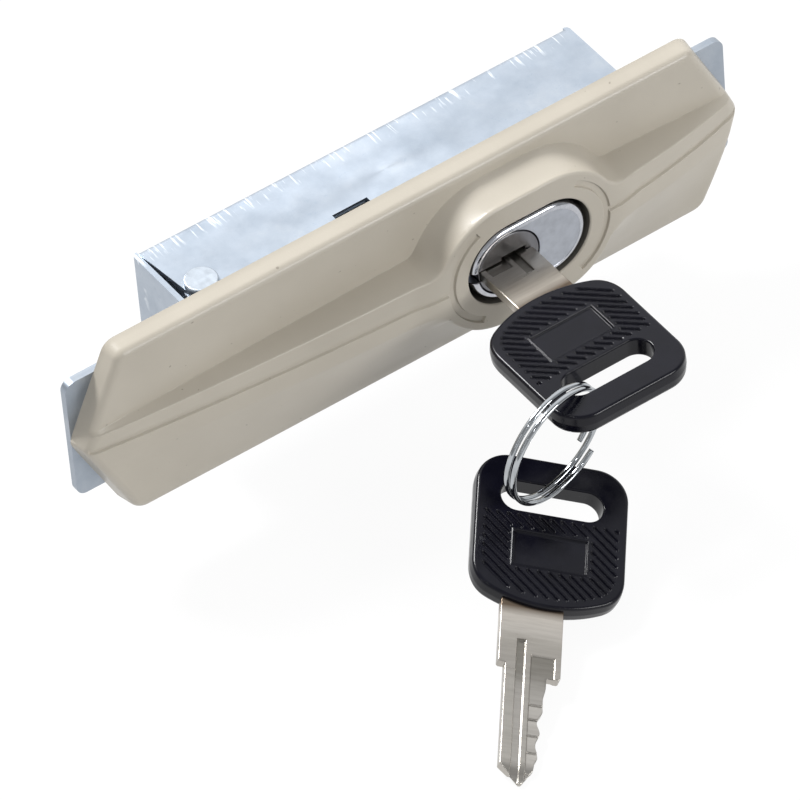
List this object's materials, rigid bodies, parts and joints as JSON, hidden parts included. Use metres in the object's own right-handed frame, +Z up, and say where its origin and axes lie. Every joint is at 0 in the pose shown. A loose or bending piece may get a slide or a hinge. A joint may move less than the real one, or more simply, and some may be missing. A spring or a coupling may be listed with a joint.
{
  "type": "cabinet lock",
  "caption": "Cabinet lock with a bowed chevron-ended handle bezel, oval lock face, folded steel case with a swinging hook bolt, and keys on a split ring.",
  "frame": {"origin": "middle of the two screw holes, in the plane where the bezel meets the mounting plate", "axes": "+X along the lock to the right seen from the front, +Y to the rear, +Z up as mounted in a door"},
  "size_m": [0.14, 0.1085, 0.0523],
  "materials": {
    "moulded_beige": "satin",
    "zinc_steel": "zinc plated",
    "screw_steel": "zinc plated",
    "hook_steel": "case hardened",
    "chromed_zinc": "chrome plated die casting",
    "nickel_brass": "nickel plated",
    "wafer_brass": "stamped",
    "spring_steel": "drawn wire",
    "ring_steel": "nickel plated",
    "black_plastic": "fine textured"
  },
  "bodies": {
    "case": {"bezel": "moulded_beige", "mounting_plate": "zinc_steel", "bezel_screws": "screw_steel", "case_shell": "zinc_steel", "hook_pivot_rivet": "zinc_steel", "pivot_spacer": "zinc_steel", "pivot_washer": "zinc_steel", "pivot_sleeve": "zinc_steel", "guide_studs": "zinc_steel", "lock_housing": "chromed_zinc", "housing_clip": "zinc_steel"},
    "plug": {"plug": "nickel_brass", "wafer_springs": "spring_steel", "cam": "hook_steel", "crank_pin": "hook_steel", "cam_washer": "screw_steel", "cam_screw": "screw_steel"},
    "wafers": {"wafer_1": "wafer_brass", "wafer_2": "wafer_brass", "wafer_3": "wafer_brass", "wafer_4": "wafer_brass", "wafer_5": "wafer_brass"},
    "key": {"key_blade": "nickel_brass", "key_head": "black_plastic"},
    "ring": {"key_ring": "ring_steel"},
    "spare_key": {"spare_key_blade": "nickel_brass", "spare_key_head": "black_plastic"},
    "slide_bar": {"slide_bar": "zinc_steel", "slide_pin": "zinc_steel"},
    "hook": {"hook_bolt": "hook_steel"}
  },
  "joints": [
    {"name": "plug_turn", "type": "hinge", "parent": "case", "child": "plug", "pos_m": [0.01485, 0, 0], "axis": [0, 1, 0], "range_deg": [0, 90]},
    {"name": "key_draw", "type": "slide", "parent": "plug", "child": "key", "axis": [0, -1, 0], "range_m": [0, 0.03]},
    {"name": "wafer_shift", "type": "slide", "parent": "plug", "child": "wafers", "axis": [1, 0, 0], "range_m": [0, 0.0004]},
    {"name": "ring_swing", "type": "hinge", "parent": "key", "child": "ring", "pos_m": [0.0006, -0.0455, 0], "axis": [1, 0, 0], "range_deg": [-25, 5]},
    {"name": "spare_key_swing", "type": "hinge", "parent": "ring", "child": "spare_key", "pos_m": [0.00048, -0.04163, -0.02029], "axis": [0.7804, -0.5505, -0.2964], "range_deg": [-5, 45]},
    {"name": "slide_bar_travel", "type": "slide", "parent": "case", "child": "slide_bar", "axis": [-1, 0, 0], "range_m": [0, 0.00647]},
    {"name": "hook_swing", "type": "hinge", "parent": "case", "child": "hook", "pos_m": [-0.0368, 0.0066, 0], "axis": [0, 0, 1], "range_deg": [0, 60]}
  ],
  "couplings": [
    {"joint": "slide_bar_travel", "follows": "plug_turn", "m_per_rad": 0.0041164},
    {"joint": "hook_swing", "follows": "plug_turn", "ratio": 0.6666},
    {"joint": "wafer_shift", "follows": "key_draw", "ratio": 0.01333}
  ]
}
